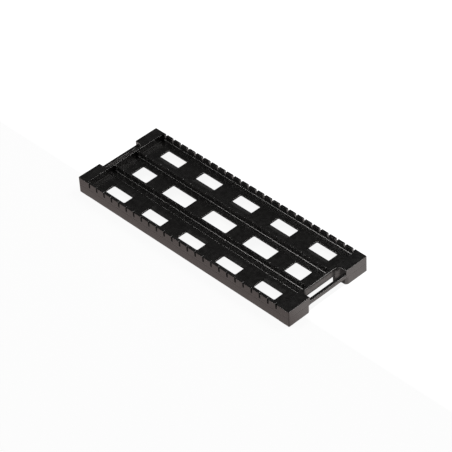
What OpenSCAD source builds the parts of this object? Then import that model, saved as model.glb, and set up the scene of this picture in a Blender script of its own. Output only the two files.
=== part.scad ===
// Slotted rack for circuit boards: an open moulded tray. A comb of board slots stands on
// each long wall and on two guide ribs, the floor is a grid of windows, and each end has
// a handle bar across a finger recess between two corner blocks.
//
// Frame: X runs along the rack, Y across it and Z up. The origin is at the centre of the
// rack on the surface that it stands on. Front is -Y and left is -X. Millimetres.
//
// The real rack is one moulding. Its features are nodes that meet face to face.

/* [Rack] */
// Overall length
rack_l = 343; // [280:1:460]
// Overall width
rack_w = 125; // [104:1:160]
// Overall height
rack_h = 21.5; // [17:0.5:40]
// Radius of the upright outer corners
corner_r = 1.2; // [0.5:0.1:2]

/* [Board slots] */
// Distance from one board slot to the next
slot_pitch = 12.7; // [8:0.1:20]
// Width of a board slot
slot_w = 2.4; // [1.6:0.1:4]
// Depth of a board slot below the top of the rack
slot_depth = 6.5; // [4:0.1:8]
// Size of the lead-in at the mouth of a slot
lead_in = 0.5; // [0.2:0.1:0.8]
// Least length of the comb tooth between the last slot and a corner block
end_tooth_min = 2; // [1:0.5:6]

/* [Long walls] */
// Thickness of the comb on a long wall
wall_comb_t = 3; // [2:0.1:5]
// Shelf that a wall or a rib leaves beside its comb
ledge_w = 1; // [0.6:0.1:2]
// Radius along the edge of that shelf
ledge_r = 0.7; // [0.2:0.1:0.9]
// Thickness of the skirt under the floor
skirt_t = 2.5; // [2:0.1:4]

/* [Guide ribs] */
// Distance between the centres of the two guide ribs
rib_spacing = 36.2; // [28:0.1:50]
// Thickness of the comb on a guide rib
rib_comb_t = 2.1; // [1.5:0.1:4]

/* [Floor] */
// Height of the shelves above the outer floor panels
ledge_h = 2.9; // [2:0.1:6]
// Thickness of the floor
floor_t = 2; // [1.5:0.1:3]
// Step up from the outer floor panels to the middle one
floor_step = 0.8; // [0.3:0.1:1.5]
// How far the middle floor panel reaches past the ribs
step_margin = 6.4; // [4:0.1:10]

/* [Windows] */
// Windows in each row
window_count = 5; // [2:1:7]
// Length of the windows in the outer rows
outer_window_l = 32.4; // [15:0.1:40]
// Length of the inner windows in the middle row
middle_window_l = 40; // [15:0.1:42]
// Length of the first and last windows in the middle row
middle_end_window_l = 25.4; // [15:0.1:40]
// Floor left between a corner block and the first window
window_end_gap = 18.5; // [5:0.5:30]
// Floor left between a long wall and an outer window
window_wall_gap = 7.5; // [3:0.1:10]
// Floor left between a guide rib and a middle window
window_rib_gap = 6.2; // [3:0.1:9]
// Radius of the window corners
window_r = 1.5; // [0.5:0.1:1.9]
// Width of the sloped relief beside each outer window
relief_w = 6.3; // [3:0.1:7]
// Depth of that relief at the edge of its window
relief_depth = 1.2; // [0.5:0.1:1.4]
// Floor left between the relief and the step
relief_gap = 3.8; // [2:0.1:5]

/* [Ends] */
// Depth of the corner blocks along the rack
block_l = 15; // [14:0.5:30]
// Thickness of the wall behind the finger recess
end_wall_t = 3; // [2:0.1:5]
// Width of the finger recess
recess_w = 57.5; // [40:0.5:70]
// Radius of the inner corners of the finger recess
recess_r = 6; // [2:0.5:8]
// Thickness of the deck on the corner blocks
deck_t = 2.5; // [2:0.1:4]
// Radius of the block corners beside the arch under the handle bar
arch_r = 4; // [1:0.5:6]
// Bevel under the wall behind the recess
wall_bevel = 0.9; // [0.4:0.1:1.6]
// Radius where that wall meets the corner blocks
haunch_r = 3.5; // [1:0.5:5]

/* [Handle bars] */
// Width of a handle bar along the rack
bar_w = 4.3; // [3:0.1:5]
// Height of a handle bar
bar_h = 4.9; // [3:0.1:6]
// Drop from the top of the rack to the top of a handle bar
bar_drop = 6; // [4:0.1:8]
// Radius of the long edges of a handle bar
bar_r = 1; // [0.3:0.1:1.4]

/* [Hidden] */
$fn = 48;
eps = 1;                                  // how far a cutting tool runs past a face

bay_l = rack_l - 2 * block_l;             // length between the corner blocks
slot_count = floor((bay_l - slot_w - 2 * end_tooth_min) / slot_pitch) + 1;
slot_span = (slot_count - 1) * slot_pitch;
end_tooth_l = (bay_l - slot_span - slot_w) / 2;
tooth_l = slot_pitch - slot_w;

wall_t = wall_comb_t + ledge_w;           // thickness of a long wall below its comb
rib_t = rib_comb_t + 2 * ledge_w;         // thickness of a rib below its comb
ledge_z = rack_h - slot_depth;            // bottom of the slots and top of the shelves
outer_floor_z = ledge_z - ledge_h;        // top of the outer floor panels
middle_floor_z = outer_floor_z + floor_step;
rib_y = rib_spacing / 2;

inner_w = rack_w - 2 * wall_t;            // width between the long walls
middle_panel_w = rib_spacing + rib_t + 2 * step_margin;
outer_panel_w = (inner_w - middle_panel_w) / 2;
outer_window_w = outer_panel_w - window_wall_gap - relief_w - relief_gap;
middle_window_w = rib_spacing - rib_t - 2 * window_rib_gap;
window_row_l = bay_l - 2 * window_end_gap;   // from the first window's start to the last one's end
middle_gap = (window_row_l - 2 * middle_end_window_l - (window_count - 2) * middle_window_l)
    / (window_count - 1);                    // floor between two windows of the middle row

block_w = (rack_w - recess_w) / 2;        // width of a corner block
end_wall_w = recess_w - 2 * recess_r;     // straight part of the wall behind a recess
bar_z = rack_h - bar_drop - bar_h;        // underside of a handle bar
wall_under_z = middle_floor_z - floor_t;  // underside of the wall behind a recess

MOULDING = "#2b2b2c";
SHADED = "#232324";

// ---- outlines ----

// Rectangle w by h on its lower left corner, with its two upper corners rounded by r.
module crowned_bar(w, h, r) {
    square([w, h - r]);
    translate([r, 0]) square([w - 2 * r, h]);
    for (x = [r, w - r]) translate([x, h - r]) circle(r);
}

// Rectangle w by h about its centre, with all four corners rounded by r.
module rounded_window(w, h, r) {
    square([w - 2 * r, h], center = true);
    square([w, h - 2 * r], center = true);
    for (x = [-1, 1], y = [-1, 1]) translate([x * (w / 2 - r), y * (h / 2 - r)]) circle(r);
}

// The piece that rounds a square outer corner at the origin, whose body lies in -X and -Y.
module corner_cut(r) {
    difference() {
        translate([-r, -r]) square(r + eps);
        translate([-r, -r]) circle(r);
    }
}

// The piece that fills a square inner corner at the origin, whose open side is +X and +Y.
module corner_fill(r) {
    difference() {
        square(r);
        translate([r, r]) circle(r);
    }
}

// ---- combs ----

// One comb tooth of length l, standing on z = 0 with its middle at x = 0. The mouth of
// a slot is widened on the sides that face one.
module tooth(l, t, left_slot, right_slot) {
    left = left_slot ? lead_in : 0;
    right = right_slot ? lead_in : 0;
    rotate([90, 0, 0]) linear_extrude(t, center = true) polygon([
        [-l / 2, 0], [l / 2, 0],
        [l / 2, slot_depth - 2 * right], [l / 2 - right, slot_depth],
        [-l / 2 + left, slot_depth], [-l / 2, slot_depth - 2 * left]
    ]);
}

// A whole comb of thickness t: a tooth between each two slots and a short one at each end.
module comb(t) {
    translate([0, 0, ledge_z]) {
        for (i = [1 : slot_count - 1])
            translate([-slot_span / 2 + (i - 0.5) * slot_pitch, 0, 0])
                tooth(tooth_l, t, true, true);
        translate([-(bay_l - end_tooth_l) / 2, 0, 0]) tooth(end_tooth_l, t, false, true);
        translate([(bay_l - end_tooth_l) / 2, 0, 0]) tooth(end_tooth_l, t, true, false);
    }
}

module wall_comb() {
    color(MOULDING) translate([0, -(rack_w - wall_comb_t) / 2, 0]) comb(wall_comb_t);
}

module rib_comb() {
    color(MOULDING) translate([0, -rib_y, 0]) comb(rib_comb_t);
}

// ---- walls and ribs ----

// A long wall: thick from the floor up to the shelf beside the comb, and a thinner skirt
// below the floor.
module long_wall() {
    under_z = outer_floor_z - floor_t;
    color(MOULDING)
        translate([-bay_l / 2, -rack_w / 2, 0]) rotate([90, 0, 90]) linear_extrude(bay_l) {
            square([skirt_t, ledge_z]);
            translate([0, under_z]) difference() {
                square([wall_t, ledge_z - under_z]);
                translate([wall_t, ledge_z - under_z]) corner_cut(ledge_r);
            }
        }
}

module guide_rib() {
    color(MOULDING)
        translate([-bay_l / 2, -rib_y - rib_t / 2, middle_floor_z]) rotate([90, 0, 90])
            linear_extrude(bay_l) crowned_bar(rib_t, ledge_z - middle_floor_z, ledge_r);
}

// ---- floor ----

// Places its children at each window of an outer row.
module each_outer_window() {
    reach = (window_row_l - outer_window_l) / 2;
    for (i = [0 : window_count - 1])
        translate([-reach + i * 2 * reach / (window_count - 1), 0, 0]) children();
}

// The windows of the middle row: the first and last are shorter, and all gaps are alike.
module middle_windows() {
    for (i = [1 : 1 : window_count - 2])
        translate([(i - (window_count - 1) / 2) * (middle_window_l + middle_gap), 0])
            rounded_window(middle_window_l, middle_window_w, window_r);
    for (side = [-1, 1])
        translate([side * (window_row_l - middle_end_window_l) / 2, 0])
            rounded_window(middle_end_window_l, middle_window_w, window_r);
}

// An outer floor panel with its row of windows, each with a sloped relief towards the rib.
module outer_floor_panel() {
    window_y = window_wall_gap + outer_window_w / 2;
    color(SHADED) translate([0, -inner_w / 2, outer_floor_z - floor_t]) difference() {
        translate([-bay_l / 2, 0, 0]) cube([bay_l, outer_panel_w, floor_t]);
        each_outer_window() {
            translate([0, window_y, -eps])
                linear_extrude(floor_t + 2 * eps)
                    rounded_window(outer_window_l, outer_window_w, window_r);
            translate([-outer_window_l / 2, window_y, floor_t]) rotate([90, 0, 90])
                linear_extrude(outer_window_l) polygon([
                    [0, eps], [0, -relief_depth], [outer_window_w / 2, -relief_depth],
                    [outer_window_w / 2 + relief_w, 0], [outer_window_w / 2 + relief_w, eps]
                ]);
        }
    }
}

module middle_floor_panel() {
    color(SHADED) translate([0, 0, middle_floor_z - floor_t]) difference() {
        translate([-bay_l / 2, -middle_panel_w / 2, 0]) cube([bay_l, middle_panel_w, floor_t]);
        translate([0, 0, -eps]) linear_extrude(floor_t + 2 * eps) middle_windows();
    }
}

// ---- ends ----

// Plan of a corner block: the inner face is x = 0 and the outer side is y = 0. The wall
// behind the recess starts at its far end, past the rounded inner corner.
module block_plan() {
    difference() {
        union() {
            square([block_l, block_w]);
            square([end_wall_t, block_w + recess_r]);
            translate([end_wall_t, block_w]) corner_fill(recess_r);
        }
        translate([block_l, 0]) mirror([0, 1]) corner_cut(corner_r);
    }
}

// The rear right corner block, a box that is open underneath. Its inner wall stops at the
// floor, and beside the arch under the handle bar its corner is round.
module corner_block() {
    room_l = block_l - skirt_t;
    room_w = block_w - 2 * skirt_t;
    floor_under_z = outer_floor_z - floor_t;
    color(MOULDING) translate([bay_l / 2, rack_w / 2, 0]) mirror([0, 1, 0]) difference() {
        linear_extrude(rack_h) block_plan();
        translate([block_l, block_w, -eps]) linear_extrude(bar_z + eps) corner_cut(arch_r);
        translate([skirt_t, skirt_t, -eps])
            cube([room_l - skirt_t, room_w, rack_h - deck_t + eps]);
        translate([-eps, skirt_t, -eps]) cube([room_l + eps, room_w, floor_under_z + eps]);
    }
}

// The wall behind the right finger recess. A bevel runs along its lower outer edge, and it
// spreads down to the corner blocks at both ends.
module end_wall() {
    h = rack_h - wall_under_z;
    color(MOULDING) translate([bay_l / 2, 0, 0]) {
        translate([0, end_wall_w / 2, wall_under_z]) rotate([90, 0, 0])
            linear_extrude(end_wall_w) polygon([
                [0, 0], [end_wall_t - wall_bevel, 0], [end_wall_t, wall_bevel],
                [end_wall_t, h], [0, h]
            ]);
        for (side = [-1, 1])
            translate([0, side * end_wall_w / 2, wall_under_z]) rotate([90, 0, 90])
                linear_extrude(end_wall_t - wall_bevel) mirror([side > 0 ? 1 : 0, 0])
                    mirror([0, 1]) corner_fill(haunch_r);
    }
}

// The right handle bar, round along its outer edges.
module handle_bar() {
    color(MOULDING) translate([rack_l / 2 - bar_w, recess_w / 2, bar_z]) rotate([90, 0, 0])
        linear_extrude(recess_w) difference() {
            square([bar_w, bar_h]);
            translate([bar_w, bar_h]) corner_cut(bar_r);
            translate([bar_w, 0]) mirror([0, 1]) corner_cut(bar_r);
        }
}

// ---- the rack ----

module on_rear() { mirror([0, 1, 0]) children(); }
module on_left() { mirror([1, 0, 0]) children(); }

long_wall();  // front_wall
on_rear() long_wall();  // rear_wall
wall_comb();  // front_wall_comb
on_rear() wall_comb();  // rear_wall_comb
guide_rib();  // front_guide_rib
on_rear() guide_rib();  // rear_guide_rib
rib_comb();  // front_rib_comb
on_rear() rib_comb();  // rear_rib_comb
outer_floor_panel();  // front_floor_panel
middle_floor_panel();
on_rear() outer_floor_panel();  // rear_floor_panel
on_left() on_rear() corner_block();  // front_left_block
on_rear() corner_block();  // front_right_block
on_left() corner_block();  // rear_left_block
corner_block();  // rear_right_block
on_left() end_wall();  // left_end_wall
end_wall();  // right_end_wall
on_left() handle_bar();  // left_handle_bar
handle_bar();  // right_handle_bar
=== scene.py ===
"""Slotted circuit board rack: one black conductive moulding, piece by piece, softly lit."""

import logging
import math
from dataclasses import dataclass, field
from enum import Enum

import bmesh
import bpy
import numpy as np
import numpy.typing as npt
from mathutils import Matrix, Vector, geometry


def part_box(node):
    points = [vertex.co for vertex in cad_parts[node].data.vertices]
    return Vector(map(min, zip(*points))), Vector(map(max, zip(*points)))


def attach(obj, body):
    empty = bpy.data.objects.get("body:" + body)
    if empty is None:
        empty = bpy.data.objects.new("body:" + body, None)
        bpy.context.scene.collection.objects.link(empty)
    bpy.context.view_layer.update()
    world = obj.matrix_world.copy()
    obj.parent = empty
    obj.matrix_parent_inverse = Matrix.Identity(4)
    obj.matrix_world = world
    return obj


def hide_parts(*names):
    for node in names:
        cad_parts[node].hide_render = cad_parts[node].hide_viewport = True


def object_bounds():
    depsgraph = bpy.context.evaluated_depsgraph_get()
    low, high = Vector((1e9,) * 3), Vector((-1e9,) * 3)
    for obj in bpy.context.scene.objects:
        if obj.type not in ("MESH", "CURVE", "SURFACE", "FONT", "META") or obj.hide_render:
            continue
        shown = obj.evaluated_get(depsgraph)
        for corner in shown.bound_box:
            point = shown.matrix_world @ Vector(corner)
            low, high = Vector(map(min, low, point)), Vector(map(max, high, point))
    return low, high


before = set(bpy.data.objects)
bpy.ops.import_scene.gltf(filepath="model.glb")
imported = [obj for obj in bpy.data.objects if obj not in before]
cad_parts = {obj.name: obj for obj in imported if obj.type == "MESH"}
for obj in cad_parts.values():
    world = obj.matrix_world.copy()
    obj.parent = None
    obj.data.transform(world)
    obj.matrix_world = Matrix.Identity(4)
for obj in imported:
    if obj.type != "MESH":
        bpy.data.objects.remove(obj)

Floats = npt.NDArray[np.float64]
Ints = npt.NDArray[np.int64]

LOG = logging.getLogger("board_rack")
MM = 0.001
WELD = 1e-8  # points within this many metres count as one
TINY = 1e-12  # keeps a division by a length above zero
LEAST_TURN = 0.3  # sine of the least turn at which both edges keep their own distance
PARTING_Z = 12.2 * MM
WHITE = (1.0, 1.0, 1.0, 1.0)
CAD_BOX = [list(corner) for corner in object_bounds()]
BODY = "root"


# ---------------------------------------------------------------- mesh arithmetic


class Lay(Enum):
    """How a flat outline and its thickness lie in the rack's frame."""

    PLAN = "outline in X and Y, thickness up Z"
    ALONG_X = "outline in Y and Z, thickness along X"
    ALONG_Y = "outline in X and Z, thickness along -Y"


class Side(Enum):
    """Which half of the rack a piece belongs to, as the signs of its X and Y."""

    FRONT_RIGHT = (1, 1)
    REAR_RIGHT = (1, -1)
    FRONT_LEFT = (-1, 1)
    REAR_LEFT = (-1, -1)


@dataclass
class Patch:
    """A piece of surface: its points, its four-sided faces and its triangles."""

    points: Floats = field(default_factory=lambda: np.zeros((0, 3)))
    quads: Ints = field(default_factory=lambda: np.zeros((0, 4), int))
    tris: Ints = field(default_factory=lambda: np.zeros((0, 3), int))

    @staticmethod
    def joined(parts: "list[Patch]") -> "Patch":
        """Several patches as one, with each one's face numbers moved past the points before it.

        Args:
            parts: The patches, in any order.

        Returns:
            One patch with all their points and faces.
        """
        starts = np.cumsum([0] + [len(p.points) for p in parts[:-1]])
        return Patch(
            np.concatenate([p.points for p in parts]),
            np.concatenate([p.quads + s for p, s in zip(parts, starts)]),
            np.concatenate([p.tris + s for p, s in zip(parts, starts)]),
        )

    def welded(self) -> "Patch":
        """The patch with points that coincide made one.

        A four-sided face that has lost one corner becomes a triangle, and a face that has shrunk to
        a line is left out.

        Returns:
            The welded patch.
        """
        keys = np.round(self.points / WELD).astype(np.int64)
        _, first, place = np.unique(keys, axis=0, return_index=True, return_inverse=True)
        place = place.reshape(-1)
        quads, tris = place[self.quads], place[self.tris]
        lost = quads == np.roll(quads, -1, 1)
        count = lost.sum(1)
        thin = count == 1
        kept = (np.argmax(lost[thin], 1)[:, None] + np.arange(1, 4)) % 4
        tris = np.concatenate([tris, np.take_along_axis(quads[thin], kept, 1)])
        tris = tris[(tris != np.roll(tris, -1, 1)).all(1)]
        return Patch(self.points[first], quads[count == 0], tris)

    def repeated(self, offsets: Floats) -> "Patch":
        """The patch once at each offset.

        Args:
            offsets: One row of X, Y and Z for each copy.

        Returns:
            One patch that holds every copy.
        """
        count, size = len(offsets), len(self.points)
        shift = (np.arange(count) * size)[:, None, None]
        return Patch(
            (self.points[None] + offsets[:, None]).reshape(-1, 3),
            (self.quads[None] + shift).reshape(-1, 4),
            (self.tris[None] + shift).reshape(-1, 3),
        )

    def mirrored(self, side: Side) -> "Patch":
        """The patch with its X and Y times a side's signs, its faces still looking outwards.

        Args:
            side: The half of the rack that the copy goes to.

        Returns:
            The mirrored patch.
        """
        signs = np.array([*side.value, 1.0])
        if signs.prod() > 0:
            return Patch(self.points * signs, self.quads, self.tris)
        return Patch(self.points * signs, self.quads[:, ::-1], self.tris[:, ::-1])


@dataclass
class Loop:
    """A closed outline, with the radius at which each of its edges rolls over at the two faces.

    The solid lies on the left of the outline, so a hole runs clockwise.
    """

    points: Floats
    low: Floats
    high: Floats

    @staticmethod
    def cornered(
        corners: list[tuple[float, float]],
        radii: list[float],
        low: float | list[float] = 0.0,
        high: float | list[float] = 0.0,
        steps: int = 5,
    ) -> "Loop":
        """A polygon whose corners are rounded.

        For a corner P between unit directions a and b to its neighbours, at angle t, the arc's
        centre is P + r/sin(t/2) along a + b, and its ends are P + r/tan(t/2) along a and along b.
        A point of the arc is the spherical mix of the two ends about the centre. A corner of radius
        0 stays one point.

        Args:
            corners: The corners in order.
            radii: The radius at each corner.
            low: Roll-over radius at the low face, one for all edges or one for the edge after each
                corner.
            high: The same at the high face.
            steps: Pieces in each arc.

        Returns:
            The rounded outline.
        """
        p, r = np.array(corners, float), np.array(radii, float)
        a, b = np.roll(p, 1, 0) - p, np.roll(p, -1, 0) - p
        a /= np.linalg.norm(a, axis=1, keepdims=True)
        b /= np.linalg.norm(b, axis=1, keepdims=True)
        turn = np.arccos(np.clip((a * b).sum(1), -1, 1))
        half = np.where(r > 0, turn / 2, math.pi / 4)
        middle = a + b
        middle /= np.maximum(np.linalg.norm(middle, axis=1, keepdims=True), TINY)
        centre = p + middle * (r / np.sin(half))[:, None]
        first = p + a * (r / np.tan(half))[:, None] - centre
        last = p + b * (r / np.tan(half))[:, None] - centre
        swing = (math.pi - 2 * half)[:, None, None]
        s = np.linspace(0, 1, steps + 1)[None, :, None]
        arcs = centre[:, None] + (
            np.sin((1 - s) * swing) * first[:, None] + np.sin(s * swing) * last[:, None]
        ) / np.sin(swing)
        keep = np.zeros(arcs.shape[:2], bool)
        keep[:, 0] = True
        keep[r > 0] = True
        share = np.append((np.arange(steps) + 0.5) / steps, 1.0)[None]

        def spread(value: float | list[float]) -> Floats:
            """One radius for each edge of the rounded outline, blending along each arc.

            Args:
                value: One radius for all the sharp outline's edges, or one for each.

            Returns:
                The radii.
            """
            edge = np.broadcast_to(np.array(value, float), (len(p),))
            before = np.roll(edge, 1)[:, None]
            whole = before * (1 - share) + edge[:, None] * share
            whole[r <= 0, 0] = edge[r <= 0]
            return whole[keep]

        return Loop(arcs[keep], spread(low), spread(high))

    def roll(self, radii: Floats) -> tuple[Floats, Floats]:
        """How far each point moves over a full roll-over, and its own radius.

        Each point keeps the distance asked of both its edges: it solves n1.d = r1 and n2.d = r2 for
        the move d, where n1 and n2 are its edges' inward normals. Where the two edges are nearly in
        line it moves along their mean normal by the mean radius.

        Args:
            radii: The radius on the edge after each point.

        Returns:
            The moves, one row each, and the radii.
        """
        edge = np.roll(self.points, -1, 0) - self.points
        edge /= np.maximum(np.linalg.norm(edge, axis=1, keepdims=True), TINY)
        after = np.stack([-edge[:, 1], edge[:, 0]], 1)
        before = np.roll(after, 1, 0)
        r2, r1 = radii, np.roll(radii, 1)
        cross = before[:, 0] * after[:, 1] - before[:, 1] * after[:, 0]
        sharp = np.abs(cross) > LEAST_TURN
        safe = np.where(sharp, cross, 1.0)
        solved = np.stack(
            [
                (r1 * after[:, 1] - r2 * before[:, 1]) / safe,
                (r2 * before[:, 0] - r1 * after[:, 0]) / safe,
            ],
            1,
        )
        mean = before + after
        mean /= np.maximum((mean * before).sum(1, keepdims=True), TINY)
        mean_r = (r1 + r2) / 2
        moves = np.where(sharp[:, None], solved, mean * mean_r[:, None])
        return moves, np.where(sharp, np.maximum(r1, r2), mean_r)

    def rings(self, bottom: float, top: float, steps: int) -> tuple[Floats, Floats]:
        """The outline carried up a straight side that rolls over at both faces.

        At roll angle q a point has moved in by (1 - cos q) of its full move, and stands its radius
        times (1 - sin q) short of the face.

        Args:
            bottom: Height of the low face.
            top: Height of the high face.
            steps: Pieces in each roll-over.

        Returns:
            Flat positions, ring by ring, and heights, ring by ring.
        """
        q = np.linspace(0, math.pi / 2, steps + 1)[:, None]
        move_low, r_low = self.roll(self.low)
        move_high, r_high = self.roll(self.high)
        inward, short = 1 - np.cos(q), 1 - np.sin(q)
        down = self.points[None] + inward[::-1, :, None] * move_low[None]
        up = self.points[None] + inward[..., None] * move_high[None]
        heights = [bottom + short[::-1] * r_low[None], top - short * r_high[None]]
        return np.concatenate([down, up]), np.concatenate(heights)


def side_strip(flat: Floats, height: Floats) -> Patch:
    """Four-sided faces between rings of points, each ring closed on itself.

    Args:
        flat: Flat positions, ring by ring.
        height: Heights, ring by ring.

    Returns:
        The strip, facing away from the solid on the left of the rings.
    """
    rings, size = height.shape
    points = np.concatenate([flat, height[..., None]], 2).reshape(-1, 3)
    k, i = np.meshgrid(np.arange(rings - 1), np.arange(size), indexing="ij")
    here, right = k * size + i, k * size + (i + 1) % size
    quads = np.stack([here, right, right + size, here + size], -1).reshape(-1, 4)
    return Patch(points, quads)


def cap(loops: list[Floats], facing_up: bool) -> Patch:
    """A flat or gently stepped face that fills an outline and leaves its holes open.

    Args:
        loops: The outer outline and then the holes, each with X, Y and height.
        facing_up: Whether the face looks up or down.

    Returns:
        The triangles, with the same points as the loops.
    """
    points = np.concatenate(loops)
    flat = [np.column_stack([loop[:, :2], np.zeros(len(loop))]).tolist() for loop in loops]
    tris = np.array(geometry.tessellate_polygon(flat), int)
    a, b, c = (points[tris[:, n], :2] for n in range(3))
    (ux, uy), (vx, vy) = (b - a).T, (c - a).T
    area = ux * vy - uy * vx
    wrong = (area > 0) != facing_up
    tris[wrong] = tris[wrong][:, ::-1]
    return Patch(points, tris=tris)


def slab(
    loops: list[Loop], bottom: float, top: float, lay: Lay = Lay.PLAN, steps: int = 3
) -> Patch:
    """A plate with the given outline and holes, whose edges roll over at its two faces.

    Args:
        loops: The outer outline and then the holes.
        bottom: Height of the low face.
        top: Height of the high face.
        lay: How the plate lies in the rack.
        steps: Pieces in each roll-over.

    Returns:
        The closed plate.
    """
    parts, lows, highs = [], [], []
    for loop in loops:
        flat, height = loop.rings(bottom, top, steps)
        parts.append(side_strip(flat, height))
        lows.append(np.column_stack([flat[0], height[0]]))
        highs.append(np.column_stack([flat[-1], height[-1]]))
    return laid(Patch.joined([*parts, cap(lows, False), cap(highs, True)]).welded(), lay)


def laid(patch: Patch, lay: Lay) -> Patch:
    """The patch with its outline and thickness turned to lie as asked.

    Args:
        patch: A patch whose third value is its height.
        lay: How it lies in the rack.

    Returns:
        The patch in the rack's frame.
    """
    u, v, w = patch.points.T
    turned = {Lay.PLAN: (u, v, w), Lay.ALONG_X: (w, u, v), Lay.ALONG_Y: (u, -w, v)}[lay]
    return Patch(np.column_stack(turned), patch.quads, patch.tris)


def box_of(node: str) -> tuple[Floats, Floats]:
    """Lowest and highest corner of a CAD node, as arrays."""
    low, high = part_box(node)
    return np.array(low), np.array(high)


# ---------------------------------------------------------------- finishes


class Nodes:
    """A node tree that is filled in from left to right."""

    def __init__(self, tree: bpy.types.NodeTree) -> None:
        """Keeps the tree.

        Args:
            tree: The tree to fill.
        """
        self.tree = tree

    def add(
        self, kind: str, values: dict[str | int, object] | None = None, **settings: object
    ) -> bpy.types.Node:
        """A new node.

        Args:
            kind: The node's type name.
            values: What goes into its inputs: another node's output, which is linked, or a value.
            settings: Properties of the node.

        Returns:
            The node.
        """
        node = self.tree.nodes.new(kind)
        for name, value in settings.items():
            setattr(node, name, value)
        for key, value in (values or {}).items():
            if isinstance(value, bpy.types.NodeSocket):
                self.tree.links.new(value, node.inputs[key])
            else:
                node.inputs[key].default_value = value
        return node

    def math(
        self, operation: str, a: object, b: object = 0.0, clamp: bool = False
    ) -> bpy.types.NodeSocket:
        """The result of one sum.

        Args:
            operation: Its name in the node.
            a: First value.
            b: Second value.
            clamp: Whether the result stays from 0 to 1.

        Returns:
            The output socket.
        """
        node = self.add("ShaderNodeMath", {0: a, 1: b}, operation=operation, use_clamp=clamp)
        return node.outputs[0]

    def span(
        self,
        value: object,
        low: float,
        high: float,
        out_low: float = 0.0,
        out_high: float = 1.0,
    ) -> bpy.types.NodeSocket:
        """A value carried smoothly from one range to another.

        Args:
            value: What goes in.
            low: Start of its range.
            high: End of its range.
            out_low: What the start becomes.
            out_high: What the end becomes.

        Returns:
            The output socket.
        """
        ends = {"From Min": low, "From Max": high, "To Min": out_low, "To Max": out_high}
        node = self.add(
            "ShaderNodeMapRange", {"Value": value, **ends}, interpolation_type="SMOOTHSTEP"
        )
        return node.outputs["Result"]

    def noise(self, vector: object, **values: object) -> bpy.types.NodeSocket:
        """A noise from 0 to 1.

        Args:
            vector: Where it is read.
            values: The noise node's other inputs.

        Returns:
            The output socket.
        """
        return self.add("ShaderNodeTexNoise", {"Vector": vector, **values}).outputs[0]

    def mixed(self, share: object, a: object, b: object) -> bpy.types.NodeSocket:
        """Two colours mixed.

        Args:
            share: How much of the second colour is in the mix.
            a: First colour.
            b: Second colour.

        Returns:
            The output socket.
        """
        return self.add("ShaderNodeMix", {0: share, 6: a, 7: b}, data_type="RGBA").outputs[2]


def socketed_group(
    name: str, inputs: dict[str, tuple[str, object]], outputs: dict[str, str]
) -> tuple[bpy.types.NodeTree, bpy.types.Node, bpy.types.Node]:
    """An empty shader group with its sockets.

    Args:
        name: The group's name.
        inputs: Socket types and default values by name.
        outputs: Socket types by name.

    Returns:
        The group, its input node and its output node.
    """
    tree = bpy.data.node_groups.new(name, "ShaderNodeTree")
    for label, (kind, value) in inputs.items():
        tree.interface.new_socket(label, in_out="INPUT", socket_type=kind).default_value = value
    for label, kind in outputs.items():
        tree.interface.new_socket(label, in_out="OUTPUT", socket_type=kind)
    return tree, tree.nodes.new("NodeGroupInput"), tree.nodes.new("NodeGroupOutput")


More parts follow.
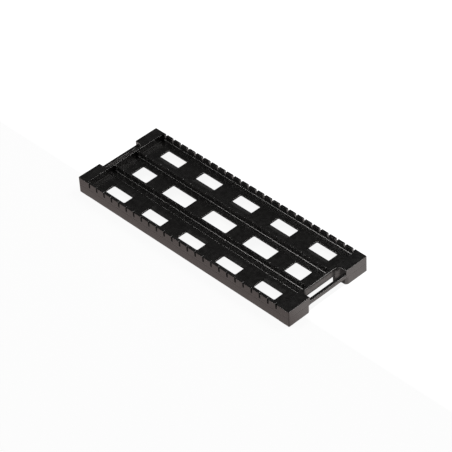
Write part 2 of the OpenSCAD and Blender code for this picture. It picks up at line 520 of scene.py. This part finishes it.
@dataclass(frozen=True)
class MouldedSkin:
    """A filled plastic moulding's skin: spark grain, flow streaks, a few rubs, the parting line.

    Scales are in cells per metre. A band is the part of a noise's range that takes effect.
    """

    flow_scale: tuple[float, float, float] = (14.0, 60.0, 60.0)
    flow_paler: float = 0.16
    blotch_scale: float = 170.0
    blotch_roughness: float = 0.05
    grain_roughness: float = 0.02
    noise_band: tuple[float, float] = (0.3, 0.7)
    scratch_turn: tuple[float, float, float] = (0.3, 0.5, 0.9)
    scratch_scale: tuple[float, float, float] = (90.0, 2600.0, 2600.0)
    scratch_band: tuple[float, float] = (0.66, 0.74)
    rubbed_band: tuple[float, float] = (0.48, 0.66)
    scuff_paler: float = 0.55
    scuff_smoother: float = 0.06
    line_half: tuple[float, float] = (0.12 * MM, 0.7 * MM)
    line_depth: float = 0.08 * MM

    def build(self) -> bpy.types.NodeTree:
        """The shader group.

        Returns:
            A group with a colour, a roughness and a height as its outputs.
        """
        value, colour = "NodeSocketFloat", "NodeSocketColor"
        tree, inlet, outlet = socketed_group(
            "moulded_skin",
            {
                "Colour": (colour, (0.02, 0.02, 0.02, 1)),
                "Rubbed": (colour, (0.05, 0.05, 0.05, 1)),
                "Roughness": (value, 0.45),
                "Grain Size": (value, 0.6 * MM),
                "Grain Depth": (value, 0.01 * MM),
                "Parting Height": (value, PARTING_Z),
            },
            {"Colour": colour, "Roughness": value, "Height": value},
        )
        n, given = Nodes(tree), inlet.outputs
        place = n.add("ShaderNodeTexCoord").outputs["Object"]
        cells = n.math("DIVIDE", 1.0, given["Grain Size"])
        grain = n.noise(place, Scale=cells, Detail=3.0, Roughness=0.6)
        blotch = n.noise(place, Scale=self.blotch_scale, Detail=5.0, Roughness=0.65)
        streaked = n.add("ShaderNodeMapping", {"Vector": place, "Scale": self.flow_scale})
        flow = n.noise(streaked.outputs[0], Scale=1.0, Detail=4.0, Distortion=0.4)
        scratched = n.add(
            "ShaderNodeMapping",
            {"Vector": place, "Rotation": self.scratch_turn, "Scale": self.scratch_scale},
        )
        scratch = n.noise(scratched.outputs[0], Scale=1.0, Detail=2.0)
        scuffed = n.math(
            "MULTIPLY", n.span(scratch, *self.scratch_band), n.span(blotch, *self.rubbed_band)
        )
        shade = n.span(flow, *self.noise_band, 0.0, self.flow_paler)
        wear = n.math("ADD", n.math("MULTIPLY", scuffed, self.scuff_paler), shade, clamp=True)

        uneven = n.span(blotch, *self.noise_band, -self.blotch_roughness, self.blotch_roughness)
        fine = n.span(grain, *self.noise_band, -self.grain_roughness, self.grain_roughness)
        polish = n.math("MULTIPLY", scuffed, self.scuff_smoother)
        rough = n.math(
            "ADD",
            n.math("ADD", given["Roughness"], uneven),
            n.math("SUBTRACT", fine, polish),
            clamp=True,
        )

        height = n.add("ShaderNodeSeparateXYZ", {0: place}).outputs["Z"]
        off_line = n.math("ABSOLUTE", n.math("SUBTRACT", height, given["Parting Height"]))
        line = n.span(off_line, *self.line_half, 1.0, 0.0)
        raised = n.math(
            "ADD",
            n.math("MULTIPLY", grain, given["Grain Depth"]),
            n.math("MULTIPLY", line, -self.line_depth),
        )
        made = {
            "Colour": n.mixed(wear, given["Colour"], given["Rubbed"]),
            "Roughness": rough,
            "Height": raised,
        }
        for label, socket in made.items():
            tree.links.new(socket, outlet.inputs[label])
        return tree


@dataclass(frozen=True)
class ConductivePlastic:
    """Satin black plastic filled with carbon."""

    name: str
    colour: tuple[float, float, float] = (0.0045, 0.0043, 0.0042)
    rubbed: tuple[float, float, float] = (0.012, 0.0115, 0.011)
    sheen_tint: tuple[float, float, float] = (1.0, 0.97, 0.95)
    roughness: float = 0.26
    grain_size: float = 0.55 * MM
    grain_depth: float = 0.003 * MM
    parting_height: float = PARTING_Z
    ior: float = 1.76

    def build(self, skin: bpy.types.NodeTree) -> bpy.types.Material:
        """The material, with the moulded skin and its bump.

        Args:
            skin: The group that makes the moulded skin.

        Returns:
            The material.
        """
        material = bpy.data.materials.new(self.name)
        material.use_nodes = True
        material.diffuse_color = (*self.colour, 1.0)
        n = Nodes(material.node_tree)
        shader = material.node_tree.nodes["Principled BSDF"]
        shader.inputs["IOR"].default_value = self.ior
        shader.inputs["Specular Tint"].default_value = (*self.sheen_tint, 1.0)
        surface = n.add(
            "ShaderNodeGroup",
            {
                "Colour": (*self.colour, 1.0),
                "Rubbed": (*self.rubbed, 1.0),
                "Roughness": self.roughness,
                "Grain Size": self.grain_size,
                "Grain Depth": self.grain_depth,
                "Parting Height": self.parting_height,
            },
            node_tree=skin,
        )
        bump = n.add(
            "ShaderNodeBump",
            {"Height": surface.outputs["Height"], "Strength": 1.0, "Distance": 1.0},
        )
        made = {
            "Base Color": surface.outputs["Colour"],
            "Roughness": surface.outputs["Roughness"],
            "Normal": bump.outputs[0],
        }
        for label, socket in made.items():
            material.node_tree.links.new(socket, shader.inputs[label])
        return material


# ---------------------------------------------------------------- the rack's pieces


@dataclass
class Edges:
    """Radii of the moulding's edges, and how far the parting groove cuts in."""

    outer: float = 0.35 * MM
    tooth: float = 0.14 * MM
    lip: float = 0.3 * MM
    rim: float = 0.75 * MM
    parting: float = 0.13 * MM


@dataclass
class Moulder:
    """Turns patches into dressed pieces that stand for CAD nodes."""

    finish: bpy.types.Material
    sharp_above: float = math.radians(38)
    shortest_edge: float = 0.002 * MM

    def piece(self, node: str, patch: Patch) -> bpy.types.Object:
        """One shown piece, smoothed and dressed, in place of a CAD node.

        Args:
            node: The CAD node that it stands for.
            patch: Its surface.

        Returns:
            The object.
        """
        mesh = bpy.data.meshes.new(f"{node}_skin")
        mesh.from_pydata(patch.points, [], patch.quads.tolist() + patch.tris.tolist())
        shell = bmesh.new()
        shell.from_mesh(mesh)
        bmesh.ops.dissolve_degenerate(shell, edges=shell.edges, dist=self.shortest_edge)
        shell.to_mesh(mesh)
        shell.free()
        mesh.shade_smooth()
        mesh.set_sharp_from_angle(angle=self.sharp_above)
        mesh.materials.append(self.finish)
        shown = bpy.data.objects.new(f"{node}_skin", mesh)
        bpy.context.scene.collection.objects.link(shown)
        weighted = shown.modifiers.new("even_faces", "WEIGHTED_NORMAL")
        weighted.keep_sharp = True
        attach(shown, BODY)
        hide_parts(node)
        LOG.info("%s: %d faces", node, len(mesh.polygons))
        return shown


@dataclass
class Combs:
    """The four rows of teeth that hold the boards."""

    edges: Edges
    slot_pitch: float = 12.7 * MM
    slot_w: float = 2.4 * MM
    lead_in: float = 0.35 * MM
    lead_drop: float = 0.7 * MM
    mouth_r: float = 0.35 * MM
    slot_count: int = 25
    steps: int = 2

    def tooth(
        self, left: float, right: float, left_slot: bool, right_slot: bool, node: str
    ) -> Patch:
        """One tooth: its outline in X and Z, carried through the comb's thickness.

        A corner at a slot's mouth is cut back as a lead-in.

        Args:
            left: X of its left side.
            right: X of its right side.
            left_slot: Whether a slot lies on its left.
            right_slot: Whether a slot lies on its right.
            node: The comb's CAD node, for its height and thickness.

        Returns:
            The tooth.
        """
        low, high = box_of(node)
        z0, z1, r = low[2], high[2], self.edges.tooth
        corners, radii, rims = [(left, z0), (right, z0)], [0.0, 0.0], [0.0]
        if right_slot:
            corners += [(right, z1 - self.lead_drop), (right - self.lead_in, z1)]
            radii += [self.mouth_r, self.mouth_r]
            rims += [r, r, r]
        else:
            corners += [(right, z1)]
            radii += [0.0]
            rims += [0.0, r]
        if left_slot:
            corners += [(left + self.lead_in, z1), (left, z1 - self.lead_drop)]
            radii += [self.mouth_r, self.mouth_r]
            rims += [r, r]
        else:
            corners += [(left, z1)]
            radii += [0.0]
            rims += [0.0]
        loop = Loop.cornered(corners, radii, rims, rims, steps=self.steps)
        return slab([loop], -high[1], -low[1], Lay.ALONG_Y, steps=self.steps)

    def build(self, node: str) -> Patch:
        """A whole comb: a tooth between each two slots and a shorter one at each end.

        Args:
            node: The comb's CAD node.

        Returns:
            The comb's teeth as one patch.
        """
        low, high = box_of(node)
        first = -(self.slot_count - 1) / 2 * self.slot_pitch
        half = self.slot_w / 2
        inner = self.tooth(first + half, first + self.slot_pitch - half, True, True, node)
        offsets = np.zeros((self.slot_count - 1, 3))
        offsets[:, 0] = np.arange(self.slot_count - 1) * self.slot_pitch
        return Patch.joined(
            [
                self.tooth(low[0], first - half, False, True, node),
                inner.repeated(offsets),
                self.tooth(-first + half, high[0], True, False, node),
            ]
        )


@dataclass
class LongMembers:
    """The long walls and the guide ribs: sections carried along the rack."""

    edges: Edges
    skirt_t: float = 2.5 * MM
    ledge_fall: float = 0.55 * MM
    ledge_run: float = 0.95 * MM
    ledge_r: float = 0.5 * MM

    def wall(self) -> Patch:
        """The front wall: skirt, thick part and the rounded shelf beside its comb.

        Returns:
            The wall, in the front half.
        """
        low, high = box_of("front_wall")
        under = box_of("front_floor_panel")[0][2]
        r, groove = self.edges.rim, self.edges.parting
        section = Loop.cornered(
            [
                (low[1], low[2]),
                (low[1] + self.skirt_t, low[2]),
                (low[1] + self.skirt_t, under),
                (high[1], under),
                (high[1], high[2] - self.ledge_fall),
                (high[1] - self.ledge_run, high[2]),
                (low[1], high[2]),
                (low[1], PARTING_Z + groove),
                (low[1] + groove, PARTING_Z),
                (low[1], PARTING_Z - groove),
            ],
            [r, r, 0.0, 0.0, self.ledge_r, 0.0, 0.0, 0.0, 0.0, 0.0],
        )
        return slab([section], low[0], high[0], Lay.ALONG_X)

    def rib(self) -> Patch:
        """The front guide rib below its comb, with a rounded shelf on both sides.

        Returns:
            The rib, in the front half.
        """
        low, high = box_of("front_guide_rib")
        section = Loop.cornered(
            [
                (low[1], low[2]),
                (high[1], low[2]),
                (high[1], high[2] - self.ledge_fall),
                (high[1] - self.ledge_run, high[2]),
                (low[1] + self.ledge_run, high[2]),
                (low[1], high[2] - self.ledge_fall),
            ],
            [0.0, 0.0, self.ledge_r, 0.0, 0.0, self.ledge_r],
        )
        return slab([section], low[0], high[0], Lay.ALONG_X)


@dataclass
class FloorPanels:
    """The floor's three rows of windows, the middle row a small step higher."""

    edges: Edges
    window_count: int = 5
    outer_window_l: float = 32.4 * MM
    middle_window_l: float = 40.0 * MM
    middle_end_window_l: float = 25.4 * MM
    window_end_gap: float = 18.5 * MM
    window_wall_gap: float = 7.5 * MM
    window_rib_gap: float = 6.2 * MM
    window_r: float = 1.5 * MM
    relief_w: float = 6.3 * MM
    relief_depth: float = 1.2 * MM
    relief_gap: float = 3.8 * MM
    relief_steps: int = 4
    roll_steps: int = 3
    slack: float = 0.01 * MM

    def spans(self, lengths: Floats) -> Floats:
        """Where a row's windows start and end, with like gaps between them.

        Args:
            lengths: Length of each window, from left to right.

        Returns:
            One row of start and end for each window.
        """
        low, high = box_of("front_floor_panel")
        row = high[0] - low[0] - 2 * self.window_end_gap
        gap = (row - lengths.sum()) / (len(lengths) - 1)
        starts = -row / 2 + np.concatenate([[0.0], np.cumsum(lengths[:-1] + gap)])
        return np.column_stack([starts, starts + lengths])

    def window(self, left: float, right: float, y0: float, y1: float) -> Loop:
        """A window's outline, clockwise, so that the floor lies on its left.

        Both ends have an extra point just before the rear corners, where a relief may begin.

        Args:
            left: Its left end.
            right: Its right end.
            y0: Its front edge.
            y1: Its rear edge.

        Returns:
            The outline.
        """
        r = self.window_r
        start = y1 - r - self.edges.lip
        return Loop.cornered(
            [(left, y0), (left, start), (left, y1), (right, y1), (right, start), (right, y0)],
            [r, 0.0, r, r, 0.0, r],
            self.edges.lip / 2,
            self.edges.lip,
        )

    def middle(self) -> Patch:
        """The middle panel, whose long edges are the rounded step down to the outer panels.

        Returns:
            The panel.
        """
        low, high = box_of("middle_floor_panel")
        reach = box_of("rear_guide_rib")[0][1] - self.window_rib_gap
        step = self.edges.rim
        outline = Loop.cornered(
            [(low[0], low[1]), (high[0], low[1]), (high[0], high[1]), (low[0], high[1])],
            [0.0] * 4,
            0.0,
            [step, 0.0, step, 0.0],
        )
        lengths = np.full(self.window_count, self.middle_window_l)
        lengths[[0, -1]] = self.middle_end_window_l
        windows = [self.window(left, right, -reach, reach) for left, right in self.spans(lengths)]
        return slab([outline, *windows], low[2], high[2])

    def relief(self, x: float, far: Floats, top: float, y_end: float) -> list[Patch]:
        """The shallow slope that runs down to a window's rib side.

        The slope is a grid between the window's far edge and a straight line on the floor. A
        point's depth below the floor is the relief's depth times its share of the way back to the
        window, at most 1.

        Args:
            x: Middle of the window along the rack.
            far: The far part of the window's outline, from left to right.
            top: Height of the floor.
            y_end: Where the slope meets the floor.

        Returns:
            The slope and the two upright cheeks at its ends.
        """
        half = self.outer_window_l / 2
        share = np.linspace(0, 1, self.relief_steps + 1)[:, None]
        line_x = x + np.linspace(-half, half, len(far))
        gx = far[:, 0] * (1 - share) + line_x * share
        gy = far[:, 1] * (1 - share) + y_end * share
        depth = self.relief_depth * np.clip((y_end - gy) / self.relief_w, 0, 1)
        rows, size = gx.shape
        points = np.stack([gx, gy, top - depth], -1).reshape(-1, 3)
        k, i = np.meshgrid(np.arange(rows - 1), np.arange(size - 1), indexing="ij")
        here = k * size + i
        quads = np.stack([here, here + 1, here + size + 1, here + size], -1).reshape(-1, 4)
        made = [Patch(points, quads)]
        for column, flip in ((0, False), (-1, True)):
            foot = np.column_stack([gx[:, column], gy[:, column], top - depth[:, column]])
            brow = foot.copy()
            brow[:, 2] = top
            k = np.arange(rows - 1)
            quads = np.stack([k, k + 1, k + 1 + rows, k + rows], -1)
            made.append(Patch(np.concatenate([foot, brow]), quads[:, ::-1] if flip else quads))
        return made

    def outer(self) -> Patch:
        """The front panel, with its windows and the slope beside each one.

        A window's far edge has no roll-over and lies at the foot of its slope. The top face then
        runs along the slope's far line and the brows of its two cheeks instead, and a small
        triangle closes the panel between each cheek and the rest of the window's edge.

        Returns:
            The panel, in the front half.
        """
        low, high = box_of("front_floor_panel")
        y0 = low[1] + self.window_wall_gap
        y_end = high[1] - self.relief_gap
        y1 = y_end - self.relief_w
        outline = Loop.cornered(
            [(low[0], low[1]), (high[0], low[1]), (high[0], high[1]), (low[0], high[1])], [0.0] * 4
        )
        flat, height = outline.rings(low[2], high[2], 1)
        parts = [side_strip(flat, height)]
        lows = [np.column_stack([flat[0], height[0]])]
        highs = [np.column_stack([flat[-1], height[-1]])]
        rows, upper = self.relief_steps + 1, self.roll_steps + 1
        for left, right in self.spans(np.full(self.window_count, self.outer_window_l)):
            hole = self.window(left, right, y0, y1)
            far = hole.points[:, 1] > y1 - self.window_r - self.slack
            hole.high = np.where(far | np.roll(far, -1), 0.0, hole.high)
            flat, height = hole.rings(low[2], high[2], self.roll_steps)
            height[-upper:, far] = high[2] - self.relief_depth
            parts.append(side_strip(flat, height))
            lows.append(np.column_stack([flat[0], height[0]]))

            order = np.roll(np.arange(len(far)), -int(np.argmax(far)))
            bank, near = np.split(order, [int(far.sum())])
            brink = np.column_stack([flat[-1][near], height[-1][near]])
            reach = self.relief((left + right) / 2, flat[-1][bank], high[2], y_end)
            slope, *cheeks = (patch.points for patch in reach)
            brows = cheeks[0][rows:], cheeks[1][rows:][::-1]
            closing = (
                (brink[-1], cheeks[0][0], brows[0][0]),
                (cheeks[1][0], brink[0], brows[1][-1]),
            )
            parts += reach
            parts += [Patch(np.array(row), tris=np.array([[0, 1, 2]])) for row in closing]
            highs.append(np.concatenate([brows[0], slope[1 - len(bank) : -1], brows[1], brink]))
        return Patch.joined([*parts, cap(lows, False), cap(highs, True)]).welded()


@dataclass
class CornerBlocks:
    """The four hollow blocks at the corners, open underneath."""

    edges: Edges
    wall: float = 2.5 * MM
    deck_t: float = 2.5 * MM
    corner_r: float = 1.2 * MM
    recess_r: float = 6.0 * MM
    arch_r: float = 4.0 * MM
    brow_r: float = 0.5 * MM
    hollow_r: float = 0.6 * MM
    arc_steps: int = 8
    roll_steps: int = 4

    def build(self) -> Patch:
        """The front right block in layers: legs, three rings round its hollow, and the deck.

        The two upper rings roll over where they meet, which is the parting line.

        Returns:
            The block.
        """
        low, high = box_of("front_right_block")
        end_wall = box_of("right_end_wall")
        comb_t = box_of("front_wall_comb")[1][1] - low[1]
        under = box_of("front_floor_panel")[0][2]
        arch = box_of("right_handle_bar")[0][2]
        a0, a1, b0, b3 = low[0], high[0], low[1], high[1]
        a_strip = end_wall[1][0]
        b1 = box_of("right_handle_bar")[0][1]
        rim, lip, r = self.edges.outer, self.edges.rim, self.recess_r
        w = self.wall
        outside = [(a0, b0), (a1, b0), (a1, b1), (a_strip, b1), (a_strip, b3), (a0, b3)]

        def plan(brow: float, low_rims: list[float], high_rims: list[float]) -> Loop:
            """The block's outline at one level.

            Args:
                brow: Radius of the corner beside the finger recess.
                low_rims: Roll-over radius of each edge at the low face.
                high_rims: The same at the high face.

            Returns:
                The outline.
            """
            return Loop.cornered(
                [*outside, (a0, b0 + comb_t)],
                [0.0, self.corner_r, brow, r, 0.0, 0.0, 0.0],
                low_rims,
                high_rims,
                steps=self.arc_steps,
            )

        hollow = Loop.cornered(
            [(a0 + w, b0 + w), (a0 + w, b1 - w), (a1 - w, b1 - w), (a1 - w, b0 + w)],
            [self.hollow_r] * 4,
        )
        legs = Loop.cornered(
            [*outside, (a0, b1 - w), (a1 - w, b1 - w), (a1 - w, b0 + w), (a0, b0 + w)],
            [0.0, self.corner_r, self.arch_r, r, *[0.0] * 3, *[self.hollow_r] * 2, 0.0],
            [rim] * 9 + [0.0],
            steps=self.arc_steps,
        )
        plain = [0.0] * 7
        seam = [self.edges.parting] * 3 + [0.0] * 4
        top = [rim, rim, lip, lip, 0.0, rim, 0.0]
        deck_z = high[2] - self.deck_t
        return Patch.joined(
            [
                slab([legs], low[2], under),
                slab([plan(self.arch_r, plain, plain), hollow], under, arch),
                slab([plan(self.brow_r, plain, seam), hollow], arch, PARTING_Z),
                slab([plan(self.brow_r, seam, plain), hollow], PARTING_Z, deck_z),
                slab([plan(self.brow_r, plain, top)], deck_z, high[2], steps=self.roll_steps),
            ]
        )


@dataclass
class EndPieces:
    """The wall behind each finger recess and the bar across it."""

    edges: Edges
    wall_bevel: float = 0.9 * MM
    haunch_r: float = 3.5 * MM
    haunch_arc: tuple[float, float] = (math.radians(165), math.radians(90))
    haunch_steps: int = 8
    bar_r: float = 0.7 * MM
    roll_steps: int = 4

    def wall(self) -> Patch:
        """The right end wall, bevelled below and rolled over above, with a haunch at each end.

        Returns:
            The wall.
        """
        low, high = box_of("right_end_wall")
        under = box_of("middle_floor_panel")[0][2]
        rim = self.edges.outer
        face = Loop.cornered(
            [(low[1], under), (high[1], under), (high[1], high[2]), (low[1], high[2])],
            [0.0] * 4,
            [0.0, 0.0, rim, 0.0],
            [self.wall_bevel, 0.0, self.edges.rim, 0.0],
        )
        q = np.linspace(*self.haunch_arc, self.haunch_steps + 1)
        arc = np.column_stack([np.cos(q), np.sin(q)]) * self.haunch_r
        corner = np.array([low[1], under])
        rise = arc + corner + [self.haunch_r, -self.haunch_r]
        haunch = np.concatenate([[corner, [low[1], rise[0, 1]]], rise])
        flat = np.zeros(len(haunch))
        left = slab([Loop(haunch, flat, flat)], low[0], high[0] - self.wall_bevel, Lay.ALONG_X)
        plate = slab([face], low[0], high[0], Lay.ALONG_X, steps=self.roll_steps)
        return Patch.joined([plate, left, left.mirrored(Side.REAR_RIGHT)])

    def bar(self) -> Patch:
        """The right handle bar: a rounded section carried from block to block.

        Returns:
            The bar.
        """
        low, high = box_of("right_handle_bar")
        small, big, groove = self.edges.lip, self.bar_r, self.edges.parting
        section = Loop.cornered(
            [
                (low[0], low[2]),
                (high[0], low[2]),
                (high[0], PARTING_Z - groove),
                (high[0] - groove, PARTING_Z),
                (high[0], PARTING_Z + groove),
                (high[0], high[2]),
                (low[0], high[2]),
            ],
            [small, big, 0.0, 0.0, 0.0, big, small],
        )
        return slab([section], low[1], high[1], Lay.ALONG_Y)


@dataclass
class Rack:
    """The whole moulding."""

    moulder: Moulder
    edges: Edges = field(default_factory=Edges)

    def build(self) -> list[bpy.types.Object]:
        """Every piece, each in place of its CAD node.

        Returns:
            The pieces.
        """
        combs, members = Combs(self.edges), LongMembers(self.edges)
        floor, blocks = FloorPanels(self.edges), CornerBlocks(self.edges)
        ends = EndPieces(self.edges)
        front, rear, left = Side.FRONT_RIGHT, Side.REAR_RIGHT, Side.FRONT_LEFT
        wall, rib, panel, block = members.wall(), members.rib(), floor.outer(), blocks.build()
        end_wall, bar = ends.wall(), ends.bar()
        made = {"middle_floor_panel": floor.middle()}
        for name, side in (("front", front), ("rear", rear)):
            made[f"{name}_wall"] = wall.mirrored(side)
            made[f"{name}_guide_rib"] = rib.mirrored(side)
            made[f"{name}_wall_comb"] = combs.build(f"{name}_wall_comb")
            made[f"{name}_rib_comb"] = combs.build(f"{name}_rib_comb")
            made[f"{name}_floor_panel"] = panel.mirrored(side)
            made[f"{name}_right_block"] = block.mirrored(side)
        for name, side in (("right", front), ("left", left)):
            made[f"{name}_end_wall"] = end_wall.mirrored(side)
            made[f"{name}_handle_bar"] = bar.mirrored(side)
        made["front_left_block"] = block.mirrored(left)
        made["rear_left_block"] = block.mirrored(Side.REAR_LEFT)
        return [self.moulder.piece(node, patch) for node, patch in made.items()]


# ---------------------------------------------------------------- studio and camera


@dataclass(frozen=True)
class Lamp:
    """A square soft lamp that faces the rack: its place, the length of its side, and its watts."""

    name: str
    place: tuple[float, float, float]
    side: float
    power: float

    def build(self) -> None:
        """Adds the lamp to the scene."""
        data = bpy.data.lights.new(self.name, "AREA")
        data.size, data.energy = self.side, self.power
        lamp = bpy.data.objects.new(self.name, data)
        bpy.context.scene.collection.objects.link(lamp)
        lamp.location = self.place
        lamp.rotation_mode = "QUATERNION"
        lamp.rotation_quaternion = (-Vector(self.place)).to_track_quat("-Z", "Y")


@dataclass(frozen=True)
class Studio:
    """A white floor, a dim surround with a pale horizon, and three soft lamps.

    The shelves beside the combs mirror the first lamp, the edges that face the right end the
    second, and the finger recess's corners the third. The rack's upright faces mirror the floor,
    whose glow in reflections is painted light: warmer painted shade in front, a painted pool of
    light towards the rear and a painted shadow under the rack.
    """

    floor_half: float = 6.0
    floor_albedo: float = 0.8
    seen_white: float = 0.92
    # Painted light in reflections: dim painted shade in front, a painted pool of light at the rear
    painted_light_levels: tuple[float, float] = (0.64, 1.17)
    front_tint: tuple[float, float, float] = (1.0, 0.86, 0.83)
    rear_tint: tuple[float, float, float] = (1.0, 0.93, 0.91)
    painted_light_span: tuple[float, float] = (-75 * MM, -20 * MM)
    # Painted shadow in reflections: the floor's glow is dimmed under the rack
    painted_shadow_under: float = 0.2
    painted_shadow_fade: tuple[float, float] = (6 * MM, 5 * MM)
    surround: float = 0.026
    horizon: float = 0.5
    horizon_band: tuple[float, float] = (0.15, 0.58)
    lamps: tuple[Lamp, ...] = (
        Lamp("soft_lamp_0", (-0.98, -0.61, 2.42), 0.75, 26.0),
        Lamp("soft_lamp_1", (0.61, 1.38, 2.24), 1.0, 34.0),
        Lamp("soft_lamp_2", (0.05, -0.1, 2.7), 0.8, 9.0),
    )

    def build(self) -> None:
        """Makes the floor, the surround and the lamps."""
        self.floor()
        self.world()
        for lamp in self.lamps:
            lamp.build()

    def floor(self) -> None:
        """The floor, which looks white, keeps a soft shadow and glows with painted light."""
        h = self.floor_half
        mesh = bpy.data.meshes.new("studio_floor")
        mesh.from_pydata([(-h, -h, 0), (h, -h, 0), (h, h, 0), (-h, h, 0)], [], [(0, 1, 2, 3)])
        ground = bpy.data.objects.new("studio_floor", mesh)
        bpy.context.scene.collection.objects.link(ground)
        material = bpy.data.materials.new("studio_floor")
        material.use_nodes = True
        material.node_tree.nodes.clear()
        n = Nodes(material.node_tree)
        path = n.add("ShaderNodeLightPath").outputs
        seen = path["Is Camera Ray"]
        mirrored = n.math("MAXIMUM", path["Is Glossy Ray"], path["Is Transmission Ray"])
        glowing = n.math("MAXIMUM", n.math("MULTIPLY", seen, self.seen_white), mirrored)

        place = n.add("ShaderNodeTexCoord").outputs["Object"]
        apart = n.add("ShaderNodeSeparateXYZ", {0: place}).outputs
        across = apart["Y"]
        # Outside the rack's footprint; inside it the painted shadow falls
        past_rack = [
            n.span(n.math("ABSOLUTE", apart[axis]), edge - fade, edge)
            for axis, edge, fade in zip("XY", CAD_BOX[1], self.painted_shadow_fade)
        ]
        clear = n.math("MAXIMUM", *past_rack)
        # Painted shade in front, painted light at the rear, painted shadow under the rack
        painted_light_ramp = n.span(across, *self.painted_light_span, *self.painted_light_levels)
        under = n.span(clear, 0.0, 1.0, self.painted_shadow_under, 1.0)
        level = n.math("MAXIMUM", seen, n.math("MULTIPLY", painted_light_ramp, under))
        front, rear = (*self.front_tint, 1.0), (*self.rear_tint, 1.0)
        painted_light_tint = n.mixed(n.span(across, *self.painted_light_span), front, rear)
        tint = n.mixed(seen, painted_light_tint, WHITE)

        paint = n.add("ShaderNodeBsdfDiffuse", {"Color": (*[self.floor_albedo] * 3, 1.0)})
        glow = n.add("ShaderNodeEmission", {"Color": tint, "Strength": level})
        mix = n.add(
            "ShaderNodeMixShader", {0: glowing, 1: paint.outputs[0], 2: glow.outputs[0]}
        )
        n.add("ShaderNodeOutputMaterial", {"Surface": mix.outputs[0]})
        mesh.materials.append(material)

    def world(self) -> None:
        """A surround that is dim above and pale at the horizon, and looks white to the camera."""
        world = bpy.data.worlds.new("surround")
        world.use_nodes = True
        bpy.context.scene.world = world
        world.node_tree.nodes.clear()
        n = Nodes(world.node_tree)
        seen = n.add("ShaderNodeLightPath").outputs["Is Camera Ray"]
        place = n.add("ShaderNodeTexCoord").outputs["Generated"]
        up = n.add("ShaderNodeSeparateXYZ", {0: place}).outputs["Z"]
        grey = n.span(up, *self.horizon_band, self.horizon, self.surround)
        level = n.math("MAXIMUM", seen, grey)
        glow = n.add("ShaderNodeBackground", {"Color": WHITE, "Strength": level})
        n.add("ShaderNodeOutputWorld", {"Surface": glow.outputs[0]})


@dataclass(frozen=True)
class ViewCamera:
    """A long lens above the rack's near right corner."""

    azimuth: float = 47.742
    elevation: float = 40.763
    roll: float = -3.539
    lens: float = 172.58
    distance: float = 2460.9 * MM
    target: tuple[float, float, float] = (12.7 * MM, -5.11 * MM, 21.5 * MM)
    slide: tuple[float, float] = (2.813 * MM, -3.829 * MM)
    sensor_w: float = 36.0
    clip: tuple[float, float] = (0.05, 50.0)

    def build(self) -> None:
        """Adds the camera and makes it the scene's own.

        Its back vector comes from azimuth and elevation, and its right and up are then rolled.
        """
        a, e, roll = map(math.radians, (self.azimuth, self.elevation, self.roll))
        back = Vector((math.sin(a) * math.cos(e), -math.cos(a) * math.cos(e), math.sin(e)))
        level = Vector((math.cos(a), math.sin(a), 0.0))
        high = back.cross(level)
        right = math.cos(roll) * level + math.sin(roll) * high
        up = math.cos(roll) * high - math.sin(roll) * level
        place = Vector(self.target) + self.distance * back
        place += self.slide[0] * right + self.slide[1] * up
        data = bpy.data.cameras.new("view_camera")
        data.lens, data.sensor_width, data.sensor_fit = self.lens, self.sensor_w, "HORIZONTAL"
        data.clip_start, data.clip_end = self.clip
        camera = bpy.data.objects.new("view_camera", data)
        bpy.context.scene.collection.objects.link(camera)
        turn = Matrix((right, up, back)).transposed().to_4x4()
        camera.matrix_world = Matrix.Translation(place) @ turn
        bpy.context.scene.camera = camera


def main() -> None:
    """Builds the camera, the studio and the rack."""
    logging.basicConfig(level=logging.INFO, format="%(name)s %(message)s")
    bpy.context.scene.view_settings.view_transform = "Standard"
    ViewCamera().build()
    Studio().build()
    finish = ConductivePlastic("conductive_plastic").build(MouldedSkin().build())
    pieces = Rack(Moulder(finish)).build()
    LOG.info("%d pieces", len(pieces))
    bpy.context.view_layer.update()


if __name__ == "__main__":
    main()
